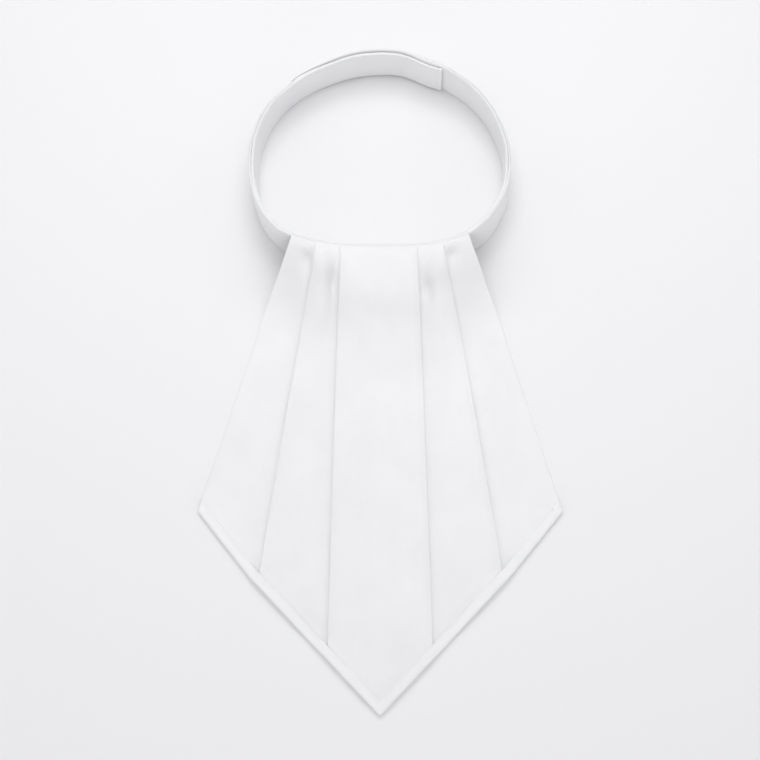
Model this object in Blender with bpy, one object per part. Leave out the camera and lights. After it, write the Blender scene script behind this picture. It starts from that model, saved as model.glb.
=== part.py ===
"""A stock tie laid on a surface: a standing neckband, a pleated bib and the rolled hem of the bib.

The neckband is one folded strip that stands on its lower edge as a ring. Its ends lap at the back.
The bib is one cloth with four knife pleats. It is sewn over the edge of the neckband's top, comes down to
the surface in front of it and fans out to two side corners and a point. The hem is a strip rolled
round the bib's two lower edges.

Sizes are in millimetres and are turned into metres when a mesh is made. +X is the wearer's left,
+Y runs from the point to the neckband, +Z is up, and the origin is on the surface, under the middle
of the whole tie.
"""

import bmesh
import bpy
import numpy as np

MM = 0.001
GAP = 0.3

# Whole tie
TIE_LENGTH = 345.3
TIE_WIDTH = 182.2
CORNER_X = TIE_WIDTH / 2
POINT_Y = -TIE_LENGTH / 2

# Neckband ring, seen from above
RING_WIDTH = 134.4
RING_BACK_DEPTH = 60.4
RING_FRONT_DEPTH = 52.2
RING_FRONT_SQUARENESS = 2.77
RING_CENTRE_Y = TIE_LENGTH / 2 - RING_BACK_DEPTH

# Neckband strip
BAND_HEIGHT = 26.3
BAND_THICKNESS = 2.9
LAPPED_THICKNESS = 1.4
LAPPED_EASE = 15.0
TAB_END_X = 32.0
OUTER_END_X = -47.0
TAB_LIFT = 1.0
TAB_BULGE = 1.3
TAB_BULGE_PLACE = 11.0
TAB_BULGE_REACH = 9.0
BAND_EDGE_ROUND = 0.55
BAND_END_ROUND = 0.4
BAND_STATION = 5.0
LAP_MARGIN = 1.0
ROUTE_STEPS = 6000

# Bib
CLOTH = 1.0
SEWN_OVER = 1.0
FOLD_RADIUS = 0.6
NECK_STEP = 0.8
NECK_TURN = 40.0
FLAT_TURN = 179.0
SHORTEST_STEP = 0.02
PLEAT_OPENS_AT = 7.0
PLEAT_FULL_AT = 22.0
PLEAT_CLEARANCE = 1.7
FOLD_CLEARANCE = 1.2
STEEPEST_FALL = 3.2
CENTRE_SAG = 1.2
FALL_CENTRE = 66.0
FALL_SIDE = 42.0
FALL_POWER = 1.5
FALL_START = 0.2
FALL_LANDING = 0.5

# Hem
HEM_WIDTH = 5.0
HEM_HEIGHT = 3.3
HEM_STATION = 9.0

# The bib's fold lines and side edges, from the left edge to the right one. top_x is where a line leaves
# the neckband, straight_x is where the line's straight part would meet the neckband, and hem_x is where
# it meets the lower edge or, on a pleat, the hem. depth is how far the pleat reaches under the panel
# nearer the middle.
FOLD_LINES = [
    {"name": "left edge", "top_x": -44.8, "straight_x": -49.3, "hem_x": -CORNER_X, "depth": 0.0},
    {"name": "left outer pleat", "top_x": -32.5, "straight_x": -35.0, "hem_x": -60.3, "depth": 4.5},
    {"name": "left inner pleat", "top_x": -20.0, "straight_x": -21.4, "hem_x": -25.9, "depth": 8.0},
    {"name": "right inner pleat", "top_x": 18.9, "straight_x": 20.0, "hem_x": 26.1, "depth": 8.0},
    {"name": "right outer pleat", "top_x": 32.2, "straight_x": 35.4, "hem_x": 60.9, "depth": 4.5},
    {"name": "right edge", "top_x": 45.2, "straight_x": 50.5, "hem_x": CORNER_X, "depth": 0.0},
]

# The outline of the lower edge, from the left corner to the point to the right corner
LOWER_EDGE = [
    {"name": "left corner", "x": -CORNER_X, "from_point": 101.0},
    {"name": "left pleat end", "x": -64.3, "from_point": 66.5},
    {"name": "point", "x": 0.0, "from_point": -2.1},
    {"name": "right pleat end", "x": 64.2, "from_point": 66.9},
    {"name": "right corner", "x": CORNER_X, "from_point": 100.6},
]

# The rounding of a band's edge: points in from its side and down from its edge, as shares of the rounding
EDGE_FACETS = [
    {"across": 0.0, "down": 1.0},
    {"across": 0.3, "down": 0.3},
    {"across": 1.0, "down": 0.0},
]

# The hem's section: across from the lower edge into the bib and up, as shares of its width and height
HEM_SECTION = [
    {"across": 0.0, "up": 0.30},
    {"across": 0.06, "up": 0.0},
    {"across": 0.94, "up": 0.0},
    {"across": 1.0, "up": 0.30},
    {"across": 0.97, "up": 0.68},
    {"across": 0.74, "up": 0.95},
    {"across": 0.5, "up": 1.0},
    {"across": 0.26, "up": 0.95},
    {"across": 0.03, "up": 0.68},
]

# Rows of the bib: distances in front of the neckband's outer face, then even steps down to the hem
NEAR_ROWS = [-SEWN_OVER, 0.0, 1.3, 3.0, 5.2, 8.0, 11.5, 15.5, 20.0, 25.0, 31.0, 38.0, 46.0]
FAR_ROWS = 11
FOLD_STEPS = 4
SIDE_POINTS = 4
PANEL_POINTS = 6
CENTRE_POINTS = 7
PLAN_MARKS = 41
SHARPEST_HALF_TURN = 0.7
CREASE_DEGREES = 50.0

WHITE_COTTON = {"color": (0.86, 0.86, 0.865, 1.0), "roughness": 0.9}
WHITE_HEM = {"color": (0.88, 0.88, 0.885, 1.0), "roughness": 0.88}
WHITE_BAND = {"color": (0.84, 0.84, 0.85, 1.0), "roughness": 0.9}


def clear_scene():
    for thing in list(bpy.data.objects):
        bpy.data.objects.remove(thing, do_unlink=True)


def cloth_material(name, color, roughness):
    material = bpy.data.materials.new(name)
    material.use_nodes = True
    shader = material.node_tree.nodes["Principled BSDF"]
    shader.inputs["Base Color"].default_value = color
    shader.inputs["Roughness"].default_value = roughness
    shader.inputs["Metallic"].default_value = 0.0
    return material


def smooth(value):
    """0 below 0, 1 above 1 and an even S between them."""
    t = np.clip(value, 0.0, 1.0)
    return t * t * (3.0 - 2.0 * t)


def loft(rings):
    """A mesh in the making, through rings of points: closed loops with the same number of points."""
    shape = bmesh.new()
    loops = [[shape.verts.new(tuple(np.asarray(point) * MM)) for point in ring] for ring in rings]
    count = len(loops[0])
    for near, far in zip(loops, loops[1:]):
        for i in range(count):
            j = (i + 1) % count
            shape.faces.new((near[i], near[j], far[j], far[i]))
    return shape, loops


def finish_piece(name, shape, material):
    """Makes the shape a named object, its faces outward and its round stretches shaded smooth."""
    bmesh.ops.recalc_face_normals(shape, faces=shape.faces)
    mesh = bpy.data.meshes.new(name)
    shape.to_mesh(mesh)
    shape.free()
    mesh.shade_smooth()
    mesh.set_sharp_from_angle(angle=np.radians(CREASE_DEGREES))
    mesh.materials.append(material)
    piece = bpy.data.objects.new(name, mesh)
    bpy.context.scene.collection.objects.link(piece)
    return piece


def ring_outline(angle):
    """A point of the ring's outer outline, and the direction square to it, at this angle in radians."""
    c, s = np.cos(angle), np.sin(angle)
    front = s < 0.0
    power = np.where(front, RING_FRONT_SQUARENESS, 2.0)
    half_width = RING_WIDTH / 2
    depth = np.where(front, RING_FRONT_DEPTH, RING_BACK_DEPTH)
    x = half_width * np.sign(c) * np.abs(c) ** (2.0 / power)
    y = depth * np.sign(s) * np.abs(s) ** (2.0 / power)
    normal_x = np.sign(x) * np.abs(x / half_width) ** (power - 1.0) / half_width
    normal_y = np.sign(y) * np.abs(y / depth) ** (power - 1.0) / depth
    length = np.hypot(normal_x, normal_y)
    point = np.stack([x, RING_CENTRE_Y + y], axis=-1)
    return point, np.stack([normal_x / length, normal_y / length], axis=-1)


def back_angle(x):
    """The angle at which the back of the ring's outline has this x."""
    return np.arccos(x / (RING_WIDTH / 2))


class BandRoute:
    """The ring's outline measured along its length, from the tab's end round to the outer end."""

    def __init__(self):
        start = back_angle(TAB_END_X)
        end = back_angle(OUTER_END_X) + 2.0 * np.pi
        self.angles = np.linspace(start, end, ROUTE_STEPS + 1)
        points, _ = ring_outline(self.angles)
        steps = np.hypot(*np.diff(points, axis=0).T)
        self.lengths = np.concatenate([[0.0], np.cumsum(steps)])
        self.total = self.lengths[-1]
        self.turn = np.interp(start + 2.0 * np.pi, self.angles, self.lengths)
        self.lap = self.total - self.turn

    def at(self, length):
        """The outline's point at this length, and the direction square to it."""
        return ring_outline(np.interp(length, self.lengths, self.angles))


def band_thickness(route, length):
    """Pressed thin at both ends, where the band laps, and full between them."""
    opening = smooth((length - route.lap) / LAPPED_EASE)
    closing = smooth((route.turn - LAP_MARGIN - length) / LAPPED_EASE)
    return LAPPED_THICKNESS + (BAND_THICKNESS - LAPPED_THICKNESS) * min(opening, closing)


def band_outer_face(route, length):
    """How far the band's outer face lies inside the ring's outline."""
    under = LAPPED_THICKNESS + GAP
    inset = under * (1.0 - smooth((length - route.lap) / LAPPED_EASE))
    bulge = TAB_BULGE * np.exp(-(((length - TAB_BULGE_PLACE) / TAB_BULGE_REACH) ** 2))
    return inset + bulge * (length < route.lap)


def band_lift(route, length):
    """How far the tab's end is raised off the surface, eased down along the band."""
    return TAB_LIFT * (1.0 - smooth((length - route.lap + 2 * LAPPED_EASE) / (3 * LAPPED_EASE)))


def band_section(thickness, lift, shrink):
    """The strip's section as (outward, up) points: flat sides, and edges rounded off in three facets."""
    half = thickness / 2 - shrink
    low = lift + shrink
    high = lift + BAND_HEIGHT - shrink
    round_off = min(BAND_EDGE_ROUND, half)
    points = []
    for side, end in ((1, 1), (-1, 1), (-1, -1), (1, -1)):
        across = [(half - round_off * row["across"]) * side for row in EDGE_FACETS]
        up = [(high if end > 0 else low) - end * round_off * row["down"] for row in EDGE_FACETS]
        turn = list(zip(across, up))
        points += turn if side == end else turn[::-1]
    return points


def make_neckband():
    route = BandRoute()
    even = np.linspace(0.0, route.total, int(round(route.total / BAND_STATION)) + 1)
    marks = [BAND_END_ROUND, route.lap, route.turn - LAP_MARGIN, route.total - BAND_END_ROUND]
    stations = np.unique(np.concatenate([even, marks]))
    rings = []
    for length in stations:
        point, normal = route.at(length)
        thickness = band_thickness(route, length)
        middle = band_outer_face(route, length) + thickness / 2
        at_end = length in (stations[0], stations[-1])
        section = band_section(thickness, band_lift(route, length), BAND_END_ROUND if at_end else 0.0)
        rings.append([(*(point + normal * (across - middle)), up) for across, up in section])
    shape, loops = loft(rings)
    shape.faces.new(loops[0])
    shape.faces.new(loops[-1][::-1])
    return finish_piece("neckband", shape, cloth_material("neckband_cotton", **WHITE_BAND))


def lower_edge(inset):
    """The lower edge's points moved into the bib by inset. Its two ends slide along the side edges."""
    points = np.array([(row["x"], POINT_Y + row["from_point"]) for row in LOWER_EDGE])
    along = np.diff(points, axis=0)
    along /= np.hypot(*along.T)[:, None]
    inward = np.stack([-along[:, 1], along[:, 0]], axis=-1)
    slides = [side_edge_direction(FOLD_LINES[0], points[0])]
    slides += [before + after for before, after in zip(inward, inward[1:])]
    slides.append(side_edge_direction(FOLD_LINES[-1], points[-1]))
    squares = np.vstack([inward, inward[-1:]])
    moved = [
        point + slide * inset / np.dot(slide, square)
        for point, slide, square in zip(points, slides, squares)
    ]
    return np.array(moved)


def side_edge_direction(edge, corner):
    """From a side corner of the bib up along its side edge."""
    top, _ = front_of_ring(np.array(edge["top_x"]))
    return np.array([edge["straight_x"], top[1]]) - corner


def front_of_ring(x):
    """The point on the front of the ring's outline with this x, and the direction square to it."""
    half_width = RING_WIDTH / 2
    cosine = np.sign(x) * np.abs(x / half_width) ** (RING_FRONT_SQUARENESS / 2.0)
    return ring_outline(-np.arccos(cosine))


def pleat_curve(turn, lift, depth):
    """The S of a pleat, outward and up, from the top of its fold to the panel below it."""
    r = FOLD_RADIUS
    if turn < np.radians(FLAT_TURN):
        straight = (lift - 2.0 * r * (1.0 - np.cos(turn))) / np.sin(turn)
    else:
        straight = depth
    straight = max(straight, SHORTEST_STEP)
    toward = np.array([np.cos(turn), -np.sin(turn)])
    aside = np.array([np.sin(turn), np.cos(turn)])
    upper = np.array([0.0, lift - r])
    lower = upper + 2.0 * r * aside + straight * toward
    angles = np.linspace(0.0, turn, FOLD_STEPS + 1)
    first = [upper + r * np.array([np.sin(a), np.cos(a)]) for a in angles]
    second = [lower - r * np.array([np.sin(a), np.cos(a)]) for a in angles[::-1]]
    return np.array(first + second)


def fallen(part):
    """The share of its fall that the cloth has done at this part of its reach, and how steep it is there."""
    steepest = 1.0 / (1.0 - (FALL_START + FALL_LANDING) / 2)
    start = np.minimum(part, FALL_START)
    middle = np.clip(part - FALL_START, 0.0, 1.0 - FALL_START - FALL_LANDING)
    landing = np.clip(part - 1.0 + FALL_LANDING, 0.0, FALL_LANDING)
    rounded = start ** 2 / (2.0 * FALL_START) + landing - landing ** 2 / (2.0 * FALL_LANDING)
    steepness = np.minimum(np.minimum(part / FALL_START, (1.0 - part) / FALL_LANDING), 1.0)
    return steepest * (rounded + middle), steepest * steepness


class BibPlan:
    """Where the bib's cloth lies, row by row and line by line, before its pleats are raised."""

    def __init__(self):
        self.marks = np.linspace(-1.0, 1.0, PLAN_MARKS)
        known = np.linspace(-1.0, 1.0, len(FOLD_LINES))
        self.top_x = np.interp(self.marks, known, [row["top_x"] for row in FOLD_LINES])
        self.straight_x = np.interp(self.marks, known, [row["straight_x"] for row in FOLD_LINES])
        hem_line = lower_edge(HEM_WIDTH + GAP)
        hem_x = [row["hem_x"] for row in FOLD_LINES]
        hem_x[0], hem_x[-1] = hem_line[0, 0], hem_line[-1, 0]
        self.hem_x = np.interp(self.marks, known, hem_x)
        self.fold_marks = known
        self.hem_y = np.interp(self.hem_x, hem_line[:, 0], hem_line[:, 1])
        points, self.normals = front_of_ring(self.top_x)
        self.top_y = points[:, 1]
        self.run = np.hypot(self.hem_x - self.straight_x, self.hem_y - self.top_y)
        self.reach = FALL_CENTRE + (FALL_SIDE - FALL_CENTRE) * np.abs(self.marks) ** FALL_POWER

    def row(self, number):
        """The row's distance in front of the neckband, for each mark."""
        if number < len(NEAR_ROWS):
            return np.full(len(self.marks), NEAR_ROWS[number])
        part = (number - len(NEAR_ROWS) + 1) / FAR_ROWS
        return NEAR_ROWS[-1] + (self.run - NEAR_ROWS[-1]) * part

    def ground(self, number):
        """The row's x and y, for each mark."""
        distance = self.row(number)
        if distance[0] < 0.0:
            x = self.top_x + self.normals[:, 0] * distance
            return x, self.top_y + self.normals[:, 1] * distance
        part = distance / self.run
        done, _ = fallen(np.clip(distance / self.reach, 0.0, 1.0))
        pull = (self.top_x - self.straight_x) * (1.0 - done)
        x = self.straight_x + (self.hem_x - self.straight_x) * part + pull
        return x, self.top_y + (self.hem_y - self.top_y) * part

    def fall(self, number):
        """The height of the cloth's middle over the surface and the slope it falls at, for each mark."""
        distance = np.maximum(self.row(number), 0.0)
        drop = BAND_HEIGHT + GAP
        done, steepness = fallen(np.clip(distance / self.reach, 0.0, 1.0))
        height = CLOTH / 2 + drop * (1.0 - done)
        slope = np.arctan(steepness * drop / self.reach)
        return height, slope


def row_profile(plan, number, x_of_folds):
    """The row's folded line of cloth, as (x, height over the plain cloth) points from left to right."""
    distance = max(float(plan.row(number)[0]), 0.0)
    opening = smooth(distance / PLEAT_OPENS_AT)
    turn = np.radians(NECK_TURN + (180.0 - NECK_TURN) * opening)
    full_lift = 4.0 * FOLD_RADIUS
    lift = NECK_STEP + (full_lift - NECK_STEP) * smooth(2.0 * distance / PLEAT_OPENS_AT)
    deepening = smooth((distance - PLEAT_OPENS_AT) / (PLEAT_FULL_AT - PLEAT_OPENS_AT))
    fold_inset = FOLD_RADIUS + CLOTH / 2
    left_edge, _, left_inner, right_inner, _, right_edge = x_of_folds
    pleats = []
    for fold, x in zip(FOLD_LINES[1:-1], x_of_folds[1:-1]):
        side = np.sign(x)
        curve = pleat_curve(turn, lift, fold["depth"] * deepening)
        across = x + side * (curve[:, 0] - fold_inset)
        points = np.stack([across, curve[:, 1]], axis=-1)
        pleats.append(points[::-1] if side < 0 else points)
    outer_left, inner_left, inner_right, outer_right = pleats
    covered = [fold["depth"] * deepening + PLEAT_CLEARANCE for fold in FOLD_LINES]
    profile = [
        side_panel(left_edge, outer_left[0]),
        outer_left,
        pleat_panel(outer_left[-1], left_inner, covered[1]),
        inner_left,
        centre_panel(inner_left[-1], inner_right[0], lift, covered[2]),
        inner_right,
        pleat_panel(outer_right[0], right_inner, covered[4])[::-1],
        outer_right,
        side_panel(right_edge, outer_right[-1])[::-1],
    ]
    return np.concatenate(profile)


def side_panel(edge_x, low):
    """The flat panel from a side edge to the pleat that covers it."""
    x = np.linspace(edge_x, low[0], SIDE_POINTS + 1)[:-1]
    return np.stack([x, np.zeros(SIDE_POINTS)], axis=-1)


def pleat_panel(raised, covering_x, covered):
    """A panel that is raised over its own pleat and comes down before the fold that covers it."""
    toward = np.sign(covering_x - raised[0])
    down = covering_x - toward * FOLD_CLEARANCE
    start = raised[0] + toward * min(covered, abs(down - raised[0]) - STEEPEST_FALL)
    part = np.linspace(0.0, 1.0, PANEL_POINTS)
    return np.stack([start + (down - start) * part, raised[1] * (1.0 - smooth(part))], axis=-1)


def centre_panel(left, right, lift, covered):
    """The middle panel, raised at both folds and sagging a little between the pleats beneath it."""
    x = np.linspace(left[0], right[0], CENTRE_POINTS + 2)[1:-1]
    from_fold = np.minimum(x - left[0], right[0] - x)
    reach = np.maximum((right[0] - left[0]) / 2 - covered, 1.0)
    deepest = CENTRE_SAG * lift / (4.0 * FOLD_RADIUS)
    return np.stack([x, lift - deepest * smooth((from_fold - covered) / reach)], axis=-1)


def walled(profile):
    """The profile given the cloth's thickness: its upper side left to right, then its lower side back."""
    before = np.vstack([profile[:1], profile[:-1]])
    after = np.vstack([profile[1:], profile[-1:]])
    into, out = profile - before, after - profile
    into[0], out[-1] = out[0], into[-1]
    into /= np.linalg.norm(into, axis=1)[:, None]
    out /= np.linalg.norm(out, axis=1)[:, None]
    halfway = into + out
    halfway /= np.linalg.norm(halfway, axis=1)[:, None]
    stretch = 1.0 / np.maximum((halfway * into).sum(axis=1), SHARPEST_HALF_TURN)
    side = np.stack([-halfway[:, 1], halfway[:, 0]], axis=-1) * (CLOTH / 2 * stretch)[:, None]
    return np.vstack([profile + side, (profile - side)[::-1]])


def make_bib():
    plan = BibPlan()
    rings = []
    for number in range(len(NEAR_ROWS) + FAR_ROWS):
        ground_x, ground_y = plan.ground(number)
        height, slope = plan.fall(number)
        x_of_folds = np.interp(plan.fold_marks, plan.marks, ground_x)
        outline = walled(row_profile(plan, number, x_of_folds))
        x, over = outline.T
        y = np.interp(x, ground_x, ground_y) - over * np.interp(x, ground_x, np.sin(slope))
        z = np.interp(x, ground_x, height) + over * np.interp(x, ground_x, np.cos(slope))
        rings.append(np.stack([x, y, z], axis=-1))
    shape, loops = loft(rings)
    half = len(loops[0]) // 2
    for loop in (loops[0], loops[-1]):
        for i in range(half - 1):
            shape.faces.new((loop[i], loop[i + 1], loop[-i - 2], loop[-i - 1]))
    return finish_piece("bib", shape, cloth_material("bib_cotton", **WHITE_COTTON))


def make_hem():
    """A rolled strip along the lower edge, its section a flattened round that rests on the surface."""
    outer_edge, inner_edge = lower_edge(0.0), lower_edge(HEM_WIDTH)
    parts = []
    for i in range(len(outer_edge) - 1):
        steps = int(round(np.hypot(*(outer_edge[i + 1] - outer_edge[i])) / HEM_STATION))
        parts += [i + k / steps for k in range(steps)]
    parts.append(len(outer_edge) - 1)
    order = np.arange(len(outer_edge))
    rings = []
    for part in parts:
        outer = np.array([np.interp(part, order, outer_edge[:, axis]) for axis in (0, 1)])
        inner = np.array([np.interp(part, order, inner_edge[:, axis]) for axis in (0, 1)])
        across = [outer + (inner - outer) * row["across"] for row in HEM_SECTION]
        rings.append([(*place, HEM_HEIGHT * row["up"]) for place, row in zip(across, HEM_SECTION)])
    shape, loops = loft(rings)
    shape.faces.new(loops[0])
    shape.faces.new(loops[-1][::-1])
    return finish_piece("hem", shape, cloth_material("hem_cotton", **WHITE_HEM))


def main():
    clear_scene()
    make_neckband()
    make_bib()
    make_hem()


main()
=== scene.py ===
"""The look of a stock tie laid on a table: its neckband, its pleated bib and the bib's rolled hem.

Each cloth is a thin closed wall on the form of its solid. Sizes are in millimetres and become metres when
a mesh is made. +X is the wearer's left, +Y runs from the point to the neckband and +Z is up.
"""

import bmesh
import bpy
import numpy as np
from mathutils import Matrix, Vector


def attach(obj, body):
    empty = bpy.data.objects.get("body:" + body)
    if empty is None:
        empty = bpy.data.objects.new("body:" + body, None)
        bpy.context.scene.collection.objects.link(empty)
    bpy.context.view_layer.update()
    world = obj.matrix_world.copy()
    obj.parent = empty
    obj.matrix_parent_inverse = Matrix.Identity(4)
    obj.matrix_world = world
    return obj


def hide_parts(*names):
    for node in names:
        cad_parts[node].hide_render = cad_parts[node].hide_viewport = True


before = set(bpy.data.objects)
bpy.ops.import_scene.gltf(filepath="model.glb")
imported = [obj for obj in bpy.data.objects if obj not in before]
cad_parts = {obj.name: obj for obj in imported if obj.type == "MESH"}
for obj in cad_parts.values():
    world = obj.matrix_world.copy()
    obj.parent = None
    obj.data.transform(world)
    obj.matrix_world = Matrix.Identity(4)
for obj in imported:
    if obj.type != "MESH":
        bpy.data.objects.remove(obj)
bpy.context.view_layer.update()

MM = 0.001

# Whole tie
TIE_LENGTH = 345.3
CORNER_X = 91.1
POINT_Y = -TIE_LENGTH / 2

# Neckband ring, seen from above
RING_WIDTH = 134.4
RING_BACK_DEPTH = 60.4
RING_FRONT_DEPTH = 52.2
RING_FRONT_SQUARENESS = 2.77
RING_CENTRE_Y = TIE_LENGTH / 2 - RING_BACK_DEPTH

# Neckband strip
BAND_HEIGHT = 26.3
BAND_THICKNESS = 2.9
BAND_CROWN = 0.2
WALL_POINTS = 9
CLOTH_SHARE = 0.26
END_ROUND = 0.7
END_NARROWS = 0.85
SWAY = 0.3
TOP_WAVER = 0.18
TOP_PUCKER = 0.08
EDGE_PUCKER = 0.1

# The strip's two turned top edges, from the groove between them outward, as shares of the strip's thickness
TURNED_EDGE = [(0.44, -1.0), (0.42, -0.6), (0.50, -0.28), (0.68, -0.08), (0.86, -0.2), (0.97, -0.55)]
FLAT_EDGE = [(0.28, -1.0), (0.27, -0.3), (0.28, 0.0), (0.36, 0.03), (0.70, -0.02), (0.95, -0.38)]
TURN_SHARE = 0.72
TURN_DROP = 0.9
SEAM_GAP = 0.02
EDGES_MEET = 0.84
OUTER_EDGE_LOWER = 0.7
BIB_HALF_WIDTH = 52.0
BIB_SIDE_OVER = 6.0
FRONT_OVER = 20.0

# The neckband's lap: the tab inside it and the outer strip over the tab
TAB_END_X = 34.4
OUTER_END_X = -47.0
LAP_GAP = 0.06
LAP_STANDS_OPEN = 0.3
GAP_FROM_TAB = 4.0
GAP_STARTS_OVER = 12.0
GAP_ENDS_OVER = 14.0
OPENING_LENGTH = 18.0
LAPPED_THICKNESS = 1.45
TAB_END_SHARE = 0.6
TAB_END_OVER = 4.0
TAB_FILLS_OVER = 40.0
TAB_CORNER = 3.6
TAB_CORNER_REACH = 2.6
TAB_LOWER = 1.7
TAB_LOWER_OVER = 26.0
TAB_LOWER_FROM_END = 3.0
TAB_LIFT = 1.2
LIFT_ENDS_BEFORE = 40.0
LIFT_ENDS_OVER = 50.0
TAB_END_ROLLS = [{"at": 1.2, "reach": 0.8, "thick": 0.26}, {"at": 3.2, "reach": 0.7, "thick": -0.12}]
FOOT_KICK = 0.4
FOOT_KICK_REACH = 7.0
OUTER_LAPPED_THICKNESS = 0.85
OUTER_STRIP_STANDS_OUT = 0.3
STANDS_OUT_OVER = 30.0
OUTER_STRIP_LOWER = 0.2
COVERING_FROM = 4.0
COVERING_OVER = 10.0
COVERING_FLAT = 0.5
END_THICKNESS = 0.14
LAP_THINS_AT = 5.0
LAP_THINS_OVER = 24.0
LAP_END_THINS_OVER = 22.0
LAP_SWELLS = [{"at": 13.0, "reach": 7.0, "thick": 0.45}, {"at": 0.0, "reach": 5.0, "thick": -0.45}]

# Bib
CLOTH = 0.5
SEWN_OVER = 0.7
SEAM_DIP = 0.04
SEAM_DIP_OVER = 0.5
THINNEST = 0.3
FOLD_RADIUS = 0.56
FOLD_RADIUS_AT_HEM = 0.36
PRESSED_BEFORE_HEM = 16.0
ROLL_HEIGHT = 0.95
ROLL_REACH = 3.4
ROLL_REACH_AT_HEM = 5.5
NECK_STEP = 0.8
PRESSED_INTO_SEAM = 0.2
NECK_TURN = 40.0
FLAT_TURN = 172.0
SHORTEST_STEP = 0.12
PLEAT_OPENS_AT = 7.0
PLEAT_FULL_AT = 22.0
PLEAT_CLEARANCE = 1.7
FOLD_CLEARANCE = 1.2
STEEPEST_FALL = 3.2
CENTRE_SAG = 0.9
EDGE_WAVER = 0.25
RIPPLE = 0.12
FALL_CENTRE = 66.0
FALL_SIDE = 42.0
FALL_START = 0.2
FALL_LANDING = 0.5
SEAT = 26.12
INTO_HEM = 1.2

# Hem
HEM_WIDTH = 5.0
HEM_CLOTH = 0.7
HEM_HEIGHT = 3.1
SEAM_FROM_EDGE = 0.75

# Stitches
STITCH_LENGTH = 1.7
STITCH_THICKNESS = 0.2
STITCH_FLATNESS = 0.7
STITCH_SPACING = 2.3
SEAM_ENDS_BEFORE = 5.5
TACK_FROM_CORNER = 4.2
TACK_STITCHES = {"left": 3, "right": 8}

# Cottons and colours, each darker first
COTTON_COLORS = {
    "band_cotton": [(0.855, 0.855, 0.865, 1.0), (0.885, 0.885, 0.895, 1.0)],
    "bib_cotton": [(0.865, 0.865, 0.875, 1.0), (0.92, 0.92, 0.93, 1.0)],
    "hem_cotton": [(0.90, 0.90, 0.91, 1.0), (0.93, 0.93, 0.94, 1.0)],
}
THREAD_COLORS = [(0.86, 0.86, 0.87, 1.0), (0.92, 0.92, 0.93, 1.0)]
TABLE_COLORS = [(0.865, 0.865, 0.875, 1.0), (0.875, 0.875, 0.885, 1.0)]
WEAVE_PITCH = 0.42
WEAVE_DEPTH = 0.5
SLUB_SCALES = [(900.0, 40.0, 1.0), (40.0, 900.0, 1.0)]

# Light, in metres and watts
ROOM_COLOR = (0.985, 0.985, 1.0, 1.0)
ROOM_STRENGTH = 0.63
SOFT_BOXES = [
    {"name": "back_key", "place": (0.0, 1.05, 1.5), "width": 0.9, "depth": 0.9, "watts": 0.6},
    {"name": "back_edge", "place": (0.0, 0.8, 1.4), "width": 0.45, "depth": 0.45, "watts": 1.6},
    {"name": "front_key", "place": (0.0, -0.9, 1.5), "width": 1.0, "depth": 1.0, "watts": 0.4},
    {"name": "left_fill", "place": (-1.5, 0.2, 1.2), "width": 1.0, "depth": 1.0, "watts": 1.9},
    {"name": "right_fill", "place": (1.5, 0.2, 1.2), "width": 1.0, "depth": 1.0, "watts": 1.9},
    {"name": "low_top", "place": (0.0, 0.12, 0.75), "width": 0.5, "depth": 0.5, "watts": 0.4},
    {"name": "low_back", "place": (0.0, 0.35, 0.6), "width": 0.4, "depth": 0.4, "watts": 1.1},
    {"name": "front_fill", "place": (0.0, -2.2, 0.5), "width": 1.6, "depth": 0.6, "watts": 7.2},
]

# Camera, in metres, degrees and, for the picture, its pixels
CAMERA_ELEVATION = 71.0
CAMERA_DISTANCE = 1.145
CAMERA_LOOKS_AT = (0.0, -0.00185, 0.0)
SENSOR_WIDTH = 36.0
PICTURE_FOCUS = 2245.0
PICTURE_SIDE = 760.0

# How far the ring leans out of its outline, at its top and its foot, by direction from its middle
LEANS = [
    {"angle": 0.0, "top": 0.8, "foot": 0.0},
    {"angle": 20.0, "top": -0.5, "foot": -0.4},
    {"angle": 40.0, "top": -0.3, "foot": 0.0},
    {"angle": 60.0, "top": -0.4, "foot": -0.1},
    {"angle": 80.0, "top": 0.3, "foot": 0.1},
    {"angle": 98.0, "top": 0.0, "foot": -0.6},
    {"angle": 118.0, "top": -1.3, "foot": -1.1},
    {"angle": 133.0, "top": -1.4, "foot": -0.2},
    {"angle": 151.0, "top": 0.2, "foot": -0.4},
    {"angle": 168.0, "top": 0.9, "foot": -0.9},
    {"angle": 185.0, "top": 1.0, "foot": -1.0},
    {"angle": 203.0, "top": 0.3, "foot": -0.6},
    {"angle": 217.0, "top": 0.4, "foot": 0.3},
    {"angle": 229.0, "top": 0.9, "foot": 1.0},
    {"angle": 245.0, "top": 0.1, "foot": 0.2},
    {"angle": 270.0, "top": 0.0, "foot": 0.0},
    {"angle": 300.0, "top": -0.1, "foot": 0.0},
    {"angle": 318.0, "top": -1.2, "foot": 0.4},
    {"angle": 333.0, "top": -2.3, "foot": -0.8},
    {"angle": 347.0, "top": -0.6, "foot": 0.6},
]

# The bib's fold lines and side edges, from the left edge to the right one
FOLD_LINES = [
    {"name": "left edge", "top_x": -44.8, "straight_x": -49.3, "hem_x": -CORNER_X, "depth": 0.0},
    {"name": "left outer pleat", "top_x": -32.5, "straight_x": -35.0, "hem_x": -60.3, "depth": 4.5},
    {"name": "left inner pleat", "top_x": -20.0, "straight_x": -21.4, "hem_x": -25.9, "depth": 8.0},
    {"name": "right inner pleat", "top_x": 18.9, "straight_x": 20.0, "hem_x": 26.1, "depth": 8.0},
    {"name": "right outer pleat", "top_x": 32.2, "straight_x": 35.4, "hem_x": 60.9, "depth": 4.5},
    {"name": "right edge", "top_x": 45.2, "straight_x": 50.5, "hem_x": CORNER_X, "depth": 0.0},
]

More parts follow.
